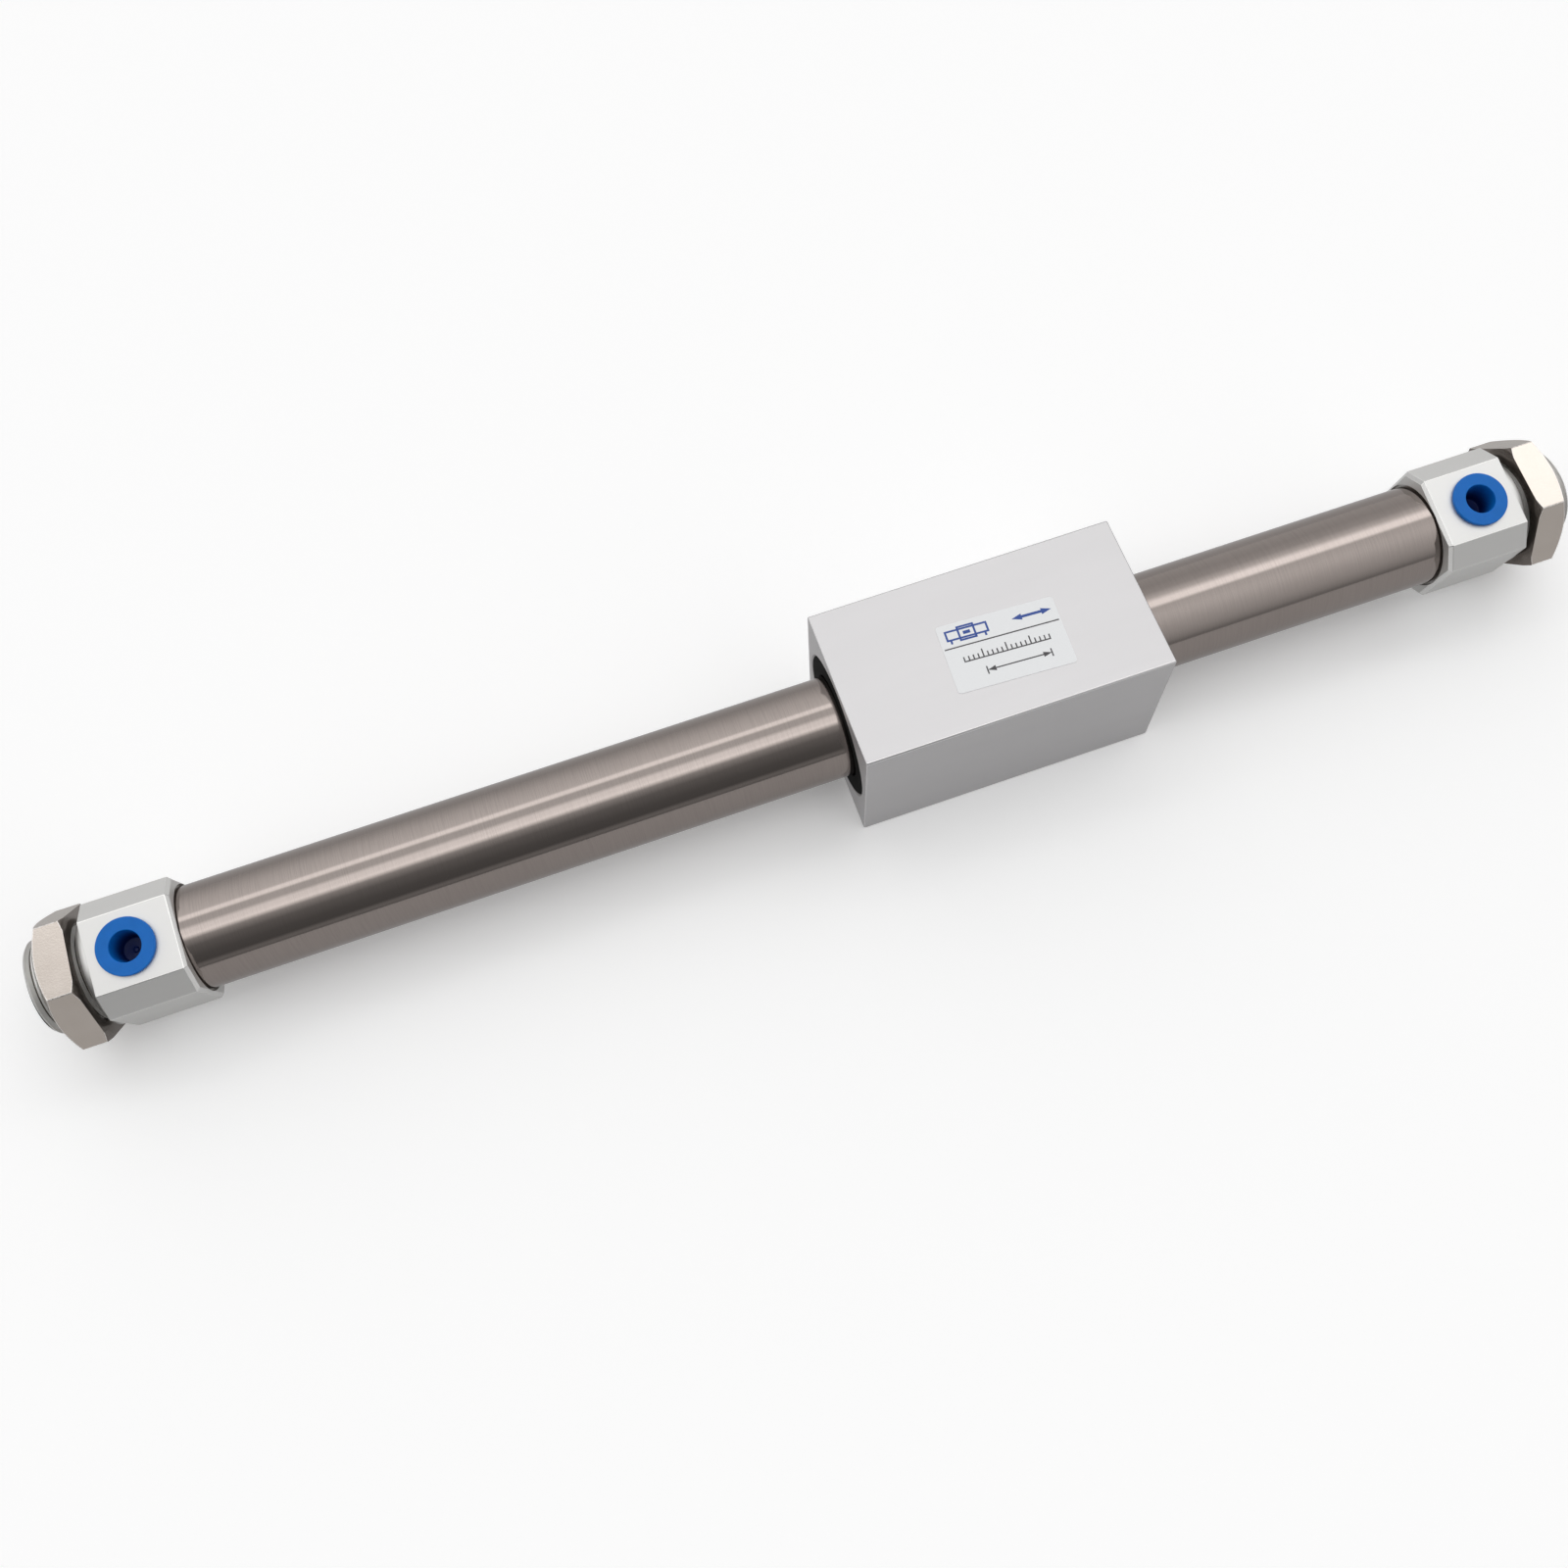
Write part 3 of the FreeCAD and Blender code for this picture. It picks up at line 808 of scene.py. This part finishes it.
def collar():
    """The short round collar between the bar and the thread, just inside the bar's rounded edge."""
    collar_r = cover_half - cover_round - seated
    ring = turned("collar", [
        (-overlap, 0),
        (-overlap, collar_r),
        (collar_length - collar_chamfer, collar_r),
        (collar_length, collar_r - collar_chamfer),
        (collar_length, 0),
    ])
    soften(ring, collar_round)
    return ring


def neck():
    """The threaded neck, limited by a blank that has its chamfer and its centre hole."""
    root_r = neck_r - neck_thread
    rod = thread("neck", -overlap, neck_length + overlap, root_r, neck_r, neck_pitch, neck_sides)
    outer_r = neck_r + overlap
    sink_length = (centre_sink_r - centre_hole_r) * math.sqrt(3)
    blank = turned("neck_blank", [
        (-2 * overlap, 0),
        (-2 * overlap, outer_r),
        (neck_length - neck_chamfer - overlap, outer_r),
        (neck_length, neck_r - neck_chamfer),
        (neck_length, centre_sink_r),
        (neck_length - sink_length, centre_hole_r),
        (neck_length - centre_depth, centre_hole_r),
        (neck_length - centre_depth - centre_hole_r / 2, 0),
    ])
    combine(rod, blank, "INTERSECT")
    return rod


def bore_port(cover):
    """Cuts the tapped air port, with its sink and the passage below it, into the top face."""
    floor = cover_half - port_depth
    groove_r = port_r + port_thread
    tap = thread("tap", floor, cover_half + clear, port_r, groove_r, port_pitch)
    combine(cover, set_down(tap, port_place), "DIFFERENCE")
    sink_r = port_r + port_sink
    drill = turned("drill", [
        (chamber_r / 2, 0),
        (chamber_r / 2, passage_r),
        (floor - (port_r - passage_r) / math.tan(drill_tip), passage_r),
        (floor, port_r - running),
        (cover_half - port_sink, port_r - running),
        (cover_half, sink_r),
        (cover_half + clear, sink_r),
        (cover_half + clear, 0),
    ], small_sides)
    combine(cover, set_down(drill, port_place), "DIFFERENCE")


def mounting_nut():
    """A bar milled to six flats with worn corners, limited by a blank with bevelled ends."""
    corner_r = nut_flats / math.sqrt(3)
    face_r = nut_flats / 2 - nut_bevel_inset
    back_r = nut_flats / 2 + nut_back_stand
    slope = math.tan(nut_bevel_angle)
    hole_r = neck_r + running
    x0 = nut_gap
    x1 = nut_gap + nut_thickness
    bar_r = corner_r + clear
    nut = disc("mounting_nut", x0 - clear, x1 + clear, bar_r, nut_bar_sides)
    for step in range(6):
        mill(nut, nut_flats / 2, (step + 0.5) * math.tau / 6)
    bevel_edges(nut, lambda a, b: abs(a.x - b.x) > nut_thickness, nut_corner, 3)
    blank = turned("nut_blank", [
        (x0, hole_r + nut_sink),
        (x0, back_r),
        (x0 + (corner_r - back_r) * slope, corner_r),
        (x1 - (corner_r - face_r) * slope, corner_r),
        (x1, face_r),
        (x1, hole_r + nut_sink),
        (x1 - nut_sink, hole_r),
        (x0 + nut_sink, hole_r),
    ])
    combine(nut, blank, "INTERSECT")
    return nut


def port_plug():
    """A moulded transit plug: round flange, tapered hollow shank, and a small gate mark inside."""
    under = cover_half + plug_stand
    top = under + plug_flange
    end = under - plug_shank
    recess_floor = end + plug_floor
    plug = turned("port_plug", [
        (end, 0),
        (end, plug_shank_r - plug_draft),
        (under, plug_shank_r),
        (under, plug_flange_r),
        (top, plug_flange_r),
        (top, plug_recess_r),
        (recess_floor, plug_recess_end_r),
        (recess_floor, plug_gate_r),
        (recess_floor + plug_gate, plug_gate_r),
        (recess_floor + plug_gate, 0),
    ], plug_sides)
    soften(plug, plug_round, segments=4, angle=40)
    return set_down(plug, port_place)


# Pieces of the carriage, in its own frame, centred on the tube's axis
def carriage_body():
    """Square bar, bored through, with a clip groove inside each end and four tapped holes below."""
    halves = Matrix.Diagonal((carriage_long_half, carriage_half, carriage_half, 1))
    body = set_down(new_cube(2), halves)
    bevel_edges(body, lambda a, b: abs(a.x - b.x) > carriage_half, carriage_edge, 5)
    bevel_edges(body, lambda a, b: abs(a.x - b.x) < tiny, carriage_end_edge, 3)
    combine(body, carriage_bore(), "DIFFERENCE")
    bolt_x = carriage_long_half - bolt_inset
    bolt_y = carriage_half - bolt_edge
    for x in (-bolt_x, bolt_x):
        for y in (-bolt_y, bolt_y):
            tap_bolt_hole(body, x, y)
    return body


def carriage_bore():
    """The room bored out of the carriage, from end to end."""
    mouth_r = carriage_bore_r + carriage_mouth
    groove_r = carriage_bore_r + clip_groove
    groove_end = carriage_long_half - carriage_recess
    groove_start = groove_end - clip_thickness - clip_play
    half = [
        (groove_start, carriage_bore_r),
        (groove_start, groove_r),
        (groove_end, groove_r),
        (groove_end, carriage_bore_r),
        (carriage_long_half - carriage_mouth, carriage_bore_r),
        (carriage_long_half, mouth_r),
        (carriage_long_half + clear, mouth_r),
        (carriage_long_half + clear, 0),
    ]
    other_half = [(-x, radius) for x, radius in reversed(half)]
    return turned("carriage_bore", other_half + half, fine_sides)


def tap_bolt_hole(body, x, y):
    """Cuts one tapped hole, with its sink and its drill point, into the bottom face."""
    place = Matrix.Translation((x, y, -carriage_half)) @ upright
    groove_r = bolt_r + bolt_thread
    tap_end = bolt_depth - bolt_pitch
    tap = thread("bolt_tap", -clear, tap_end, bolt_r, groove_r, bolt_pitch, bolt_sides)
    combine(body, set_down(tap, place), "DIFFERENCE")
    drill_r = bolt_r - running
    drill = turned("bolt_drill", [
        (-clear, 0),
        (-clear, drill_r + bolt_sink + clear),
        (bolt_sink, drill_r),
        (bolt_depth, drill_r),
        (bolt_depth + drill_r / math.tan(drill_tip), 0),
    ], bolt_sides)
    combine(body, set_down(drill, place), "DIFFERENCE")


def bearing_holder():
    """The ring that fills an end of the bore and holds felt, wear ring and scraper."""
    x0 = stack_end + seated
    wear_x0 = stack_end + felt_width + holder_web
    wear_x1 = wear_x0 + wear_pocket
    scraper_x = wear_x1 + holder_web
    x1 = scraper_x + scraper_width
    inner_r = tube_r + holder_air
    felt_r = tube_r + felt_wall + 2 * seated
    wear_r = tube_r + wear_wall + 2 * running
    scraper_r = tube_r + scraper_wall + 2 * seated
    holder = turned("bearing_holder", [
        (x0, felt_r),
        (x0 + felt_width, felt_r),
        (x0 + felt_width, inner_r),
        (wear_x0, inner_r),
        (wear_x0, wear_r),
        (wear_x1, wear_r),
        (wear_x1, inner_r),
        (scraper_x, inner_r),
        (scraper_x, scraper_r),
        (x1, scraper_r),
        (x1, carriage_bore_r - seated),
        (x0, carriage_bore_r - seated),
    ])
    soften(holder, holder_round)
    return holder


def scraper():
    """A rubber ring with a lip that wipes the tube."""
    x0 = stack_end + felt_width + 2 * holder_web + wear_pocket + seated
    x1 = x0 + scraper_width - seated
    lip_r = tube_r + running
    outer_r = tube_r + scraper_wall
    ring = turned("scraper", [
        (x0, lip_r + holder_air),
        (x1 - scraper_lip, lip_r + holder_air),
        (x1 - scraper_lip / 2, lip_r),
        (x1, lip_r),
        (x1, lip_r + scraper_lip),
        (x1 - scraper_lip, outer_r - scraper_lip),
        (x1 - scraper_lip / 2, outer_r),
        (x0, outer_r),
    ])
    soften(ring, scraper_round, angle=25)
    return ring


def dust_ring():
    """A black moulded ring that closes the mouth of the carriage."""
    x0 = carriage_long_half - carriage_recess + seated
    x1 = carriage_long_half - dust_ring_sunk
    inner_r = tube_r + dust_ring_air
    outer_r = carriage_bore_r - seated
    ring = turned("dust_ring", [
        (x0, inner_r),
        (x1 - dust_ring_edge, inner_r),
        (x1, inner_r + dust_ring_edge),
        (x1, outer_r - dust_ring_edge),
        (x1 - dust_ring_edge, outer_r),
        (x0, outer_r),
    ])
    soften(ring, dust_ring_round)
    return ring


def carriage_clip():
    """An internal retaining ring, punched and ground, with pierced ears at its opening below."""
    x0 = carriage_long_half - carriage_recess - clip_thickness - clip_play / 2
    x1 = x0 + clip_thickness
    outer_r = carriage_bore_r + clip_groove - clip_play
    inner_r = carriage_bore_r - clip_width
    sweep = math.tau - clip_opening
    outline = [(x0, inner_r), (x0, outer_r), (x1, outer_r), (x1, inner_r)]
    clip = turned("carriage_clip", outline, round_sides, sweep)
    set_down(clip, Matrix.Rotation(-sweep / 2, 4, "X"))
    ear_r = inner_r + clip_ear_rise
    ear_angle = clip_opening / 2 + clip_ear / inner_r
    turns = [math.pi - ear_angle, math.pi + ear_angle]
    places = [Matrix.Translation(away(turn) * ear_r) for turn in turns]
    for place in places:
        ear = disc("ear", x0, x1, clip_ear, ear_sides)
        combine(clip, set_down(ear, place), "UNION")
    for place in places:
        punch = disc("punch", x0 - clear, x1 + clear, clip_ear_hole_r, ear_hole_sides)
        combine(clip, set_down(punch, place), "DIFFERENCE")
    return clip


# The tube, in the part's own frame
def cylinder_tube():
    """The stainless tube, with a hair of an edge at its ends."""
    inner_r = tube_r - tube_wall
    outline = [(-tube_end, inner_r), (-tube_end, tube_r), (tube_end, tube_r), (tube_end, inner_r)]
    tube = turned("tube", outline, fine_sides)
    soften(tube, tube_round)
    return tube


# The label, with a generic drawing in the place of its printing
label_place = Vector((2.4 * mm, -2.3 * mm))
label_width = 25 * mm
label_height = 15.5 * mm
label_turn = math.radians(-3)
label_thickness = 0.08 * mm
label_corner = 0.7 * mm
ink_thickness = 0.012 * mm
sign_height = 5.1 * mm
rule_height = 2.3 * mm
scale_height = -1.3 * mm
long_tick = 1.9 * mm
short_tick = 1.1 * mm


def on_label(height):
    """The label's own frame: x along it and y up it, at a height over the carriage's top face."""
    middle = Vector((carriage_middle + label_place.x, label_place.y, carriage_half + height))
    return Matrix.Translation(middle) @ Matrix.Rotation(label_turn, 4, "Z")


def bar(x, y, width, height, thickness):
    """A flat bar on the label, given by its middle and size."""
    size = Matrix.Diagonal((width, height, thickness, 1))
    return set_down(new_cube(1), Matrix.Translation((x, y, thickness / 2)) @ size)


def label_sticker():
    """The bare film, with rounded corners."""
    sticker = bar(0, 0, label_width, label_height, label_thickness)
    bevel_edges(sticker, lambda a, b: abs(a.z - b.z) > label_thickness / 2, label_corner, 6)
    return set_down(sticker, on_label(0))


def arrow_head(x, y, size, direction):
    """A flat triangle that points left or right."""
    bpy.ops.object.select_all(action="DESELECT")
    bpy.ops.mesh.primitive_cylinder_add(vertices=3, radius=size, depth=ink_thickness)
    turn = Matrix.Rotation(math.tau / 4 if direction < 0 else -math.tau / 4, 4, "Z")
    longer = 1.3
    slimmer = 0.75
    stretch = Matrix.Diagonal((longer, slimmer, 1, 1))
    place = Matrix.Translation((x, y, ink_thickness / 2))
    return set_down(bpy.context.object, place @ stretch @ turn)


def joined(marks):
    """One piece out of marks that touch, cross or stand apart."""
    for mark in marks[1:]:
        combine(marks[0], mark, "UNION")
    return marks[0]


def frame_of_bars(x, y, width, height, line):
    """A rectangle drawn with a line."""
    bars = [bar(x, y + side * height / 2, width + line, line, ink_thickness) for side in (-1, 1)]
    bars += [bar(x + side * width / 2, y, line, height, ink_thickness) for side in (-1, 1)]
    return bars


def cylinder_symbol():
    """The common circuit sign of a rodless cylinder: barrel, piston, carriage and two ports."""
    line = 0.42 * mm
    x = -6.6 * mm
    y = sign_height
    barrel_width = 8.6 * mm
    barrel_height = 2 * mm
    piston_width = 1.5 * mm
    port_reach = barrel_width * 0.42
    port_length = 0.7 * mm
    port_y = y - barrel_height / 2 - port_length / 2 - line / 2
    marks = frame_of_bars(x, y, barrel_width, barrel_height, line)
    marks.append(bar(x, y, piston_width, barrel_height - 3 * line, ink_thickness))
    marks += frame_of_bars(x, y, 2.2 * piston_width, barrel_height + 2.4 * line, line)
    for side in (-1, 1):
        marks.append(bar(x + side * port_reach, port_y, line, port_length, ink_thickness))
    return joined(marks)


def double_arrow(x, y, half, head, line):
    """An arrow with a head at each end."""
    marks = [bar(x, y, 2 * (half - head), line, ink_thickness)]
    for side in (-1, 1):
        marks.append(arrow_head(x + side * (half - head), y, head, side))
    return marks


def blue_drawing():
    """The sign at the left, and a stout travel arrow at the right."""
    arrow_x = 7.2 * mm
    arrow = double_arrow(arrow_x, sign_height, half=3.9 * mm, head=1.1 * mm, line=0.6 * mm)
    return set_down(joined([cylinder_symbol()] + arrow), on_label(label_thickness))


def dark_drawing():
    """A rule across the label, a plain scale below it, and a travel arrow between end marks."""
    line = 0.28 * mm
    rule_width = label_width * 0.97
    scale_half = 9
    arrow_x = 1.5 * mm
    arrow_y = -4.3 * mm
    arrow_half = 6.5 * mm
    head = 0.9 * mm
    marks = [bar(0, rule_height, rule_width, line, ink_thickness)]
    marks.append(bar(0, scale_height, (2 * scale_half) * mm + line, line, ink_thickness))
    for step in range(-scale_half, scale_half + 1):
        tick = short_tick if step % 5 else long_tick
        marks.append(bar(step * mm, scale_height + tick / 2, line, tick, ink_thickness))
    marks += double_arrow(arrow_x, arrow_y, arrow_half, head, line)
    for side in (-1, 1):
        end_x = arrow_x + side * (arrow_half + line)
        marks.append(bar(end_x, arrow_y, line, 2 * head, ink_thickness))
    return set_down(joined(marks), on_label(label_thickness))


# Placing. What is modelled for the right end is turned half round for the left end.
half_turns = {"left": Matrix.Rotation(math.pi, 4, "Z"), "right": Matrix.Identity(4)}
shoulders = {"left": -shoulder, "right": shoulder}
nut_turns = {"left": left_nut_turn, "right": right_nut_turn}


def cover_place(end):
    roll = Matrix.Rotation(cover_roll, 4, "X")
    return roll @ Matrix.Translation((shoulders[end], 0, 0)) @ half_turns[end]


def nut_place(end):
    return cover_place(end) @ Matrix.Rotation(nut_turns[end], 4, "X")


def carriage_place(end):
    return Matrix.Translation((carriage_middle, 0, 0)) @ half_turns[end]


def dress(finishes):
    """Models every piece in view and puts it in the place of its solid."""
    slot = "stainless_tube"
    finish(cylinder_tube(), "tube", "tube", finishes[slot], ["cylinder_tube"])

    slot = "carriage_aluminium"
    carriage = set_down(carriage_body(), carriage_place("right"))
    finish(carriage, "carriage", "carriage", finishes[slot], ["carriage_body"])

    pairs = (
        ("end_cover", end_cover, "tube", "cover_aluminium", cover_place),
        ("port_plug", port_plug, "{}_plug", "plug_blue", cover_place),
        ("bearing_holder", bearing_holder, "carriage", "holder_aluminium", carriage_place),
        ("scraper", scraper, "carriage", "seal_rubber", carriage_place),
        ("carriage_clip", carriage_clip, "carriage", "spring_steel", carriage_place),
        ("dust_ring", dust_ring, "carriage", "ring_plastic", carriage_place),
        ("mounting_nut", mounting_nut, "{}_nut", "nut_nickel", nut_place),
    )
    for name, build, body_name, slot, place in pairs:
        model = build()
        for end in ("left", "right"):
            piece = set_down(copy_of(model), place(end))
            node = end + "_" + name
            finish(piece, "dressed_" + node, body_name.format(end), finishes[slot], [node])
        bpy.data.objects.remove(model)


def stick_label():
    """Puts the label and its drawing on the carriage."""
    blue = printing_ink("blue ink", (0.02, 0.07, 0.33))
    dark = printing_ink("dark ink", (0.06, 0.055, 0.06))
    finish(label_sticker(), "label_sticker", "carriage", label_film())
    finish(blue_drawing(), "label_blue_drawing", "carriage", blue)
    finish(dark_drawing(), "label_dark_drawing", "carriage", dark)


def finish_hidden_pieces(finishes):
    """Gives every solid that still shows the finish of its slot."""
    slots = {part["node"]: part["material_slot"] for part in frame["record"]["subparts"]}
    for node, piece in frame["nodes"].items():
        piece.data.materials.clear()
        piece.data.materials.append(finishes[slots[node]])


# The studio: pale floor, and soft light from all round that is brightest overhead.
# Each pair of a light is degrees round the tube, from straight up towards the front, and a level.
full_level = 2.4
left_light = [
    (-180, 0.45), (-92, 0.60), (-85, 0.62), (-60, 0.92), (-32, 1.15), (-28, 1.85), (-22, 1.85),
    (-18, 0.90), (-6, 0.92), (1, 1.65), (8, 1.70), (14, 1.90), (23, 0.55), (38, 0.24), (60, 0.15),
    (76, 0.13), (82, 0.28), (86, 0.28), (90, 0.18), (98, 0.42), (180, 0.45),
]
right_light = [
    (-180, 0.45), (-92, 0.65), (-60, 0.58), (-42, 0.68), (-28, 1.10), (-18, 2.05), (-9, 2.05),
    (-3, 0.95), (15, 1.05), (25, 1.02), (45, 0.80), (65, 0.62), (78, 0.46), (87, 0.28),
    (95, 0.45), (180, 0.50),
]

# Along the tube, from -1 at the left to 1 at the right: where one light gives way to the other,
# and where both grow dimmer towards the ends
lights_meet = (0.12, 0.36)
left_dims = (-0.45, -0.32)
right_dims = (0.62, 0.9)
left_dimmed = 0.65
right_drop = 0.55
backdrop_tone = (0.95, 0.95, 0.955)
floor_size = 6


def studio_light():
    """Light by its direction, from two tables. The camera sees a plain backdrop instead."""
    world = bpy.data.worlds.new("studio")
    bpy.context.scene.world = world
    world.use_nodes = True
    graph = Graph(world.node_tree)
    out = graph.tree.nodes["World Output"]
    background = graph.tree.nodes["Background"]
    x, y, z = graph.parts(graph.add("TexCoord", {}, {}, "Generated"))
    turn = graph.maths("ARCTAN2", 0 - y, z) / math.tau + 0.5
    sides = []
    for light in (left_light, right_light):
        stops = [(degrees / 360 + 0.5, level / full_level) for degrees, level in light]
        sides.append(graph.add("ValToRGB", {"stops": stops}, {"Fac": turn}))
    graph.feed(background.inputs["Color"], graph.blend(graph.between(x, *lights_meet), *sides))
    left_end = left_dimmed + graph.between(x, *left_dims) * (1 - left_dimmed)
    right_end = 1 - graph.between(x, *right_dims) * right_drop
    graph.feed(background.inputs["Strength"], left_end * right_end * full_level)
    lit = Value(graph, background.outputs[0])
    backdrop = graph.add("Background", {}, {"Color": colour(*backdrop_tone)})
    seen = graph.add("LightPath", {}, {}, "Is Camera Ray")
    graph.feed(out.inputs["Surface"], graph.add("MixShader", {}, {0: seen, 1: lit, 2: backdrop}))


def pale_floor():
    """A plain pale floor that looks whiter than it shines back, and is open from below."""
    bpy.ops.object.select_all(action="DESELECT")
    bpy.ops.mesh.primitive_plane_add(size=floor_size, location=(0, 0, floor_height))
    floor = bpy.context.object
    floor.name = "floor"
    constants = {"Roughness": 0.9, "Specular IOR Level": 0.0, "Emission Strength": 1.0}
    paint = Paint("pale floor", constants)
    seen = paint.add("LightPath", {}, {}, "Is Camera Ray")
    paint.set("Base Color", paint.blend(seen, grey(0.40), grey(0.98)))
    paint.set("Emission Color", paint.blend(seen, grey(0.20), grey(0.14)))
    paint.set("Alpha", 1 - paint.add("NewGeometry", {}, {}, "Backfacing"))
    floor.data.materials.append(paint.material)


# The camera, from a fit to points of the photograph. Lens and sensor are in millimetres.
lens = 36.11
sensor = 36
nearest = 10 * mm
camera_place = Vector((-44.14, -128.37, 301.00)) * mm
camera_forward = Vector((0.09574, 0.36764, -0.92503))
camera_up = Vector((0.31492, 0.87037, 0.37852))


def photo_camera():
    data = bpy.data.cameras.new("camera")
    data.lens = lens
    data.sensor_width = sensor
    data.clip_start = nearest
    camera = bpy.data.objects.new("camera", data)
    bpy.context.scene.collection.objects.link(camera)
    right = camera_forward.cross(camera_up)
    turn = Matrix((right, camera_up, -camera_forward)).transposed().to_4x4()
    camera.matrix_world = Matrix.Translation(camera_place) @ turn
    bpy.context.scene.camera = camera


def main():
    finishes = make_finishes()
    finish_hidden_pieces(finishes)
    dress(finishes)
    stick_label()
    studio_light()
    pale_floor()
    photo_camera()
    bpy.context.scene.view_settings.view_transform = "Standard"


main()
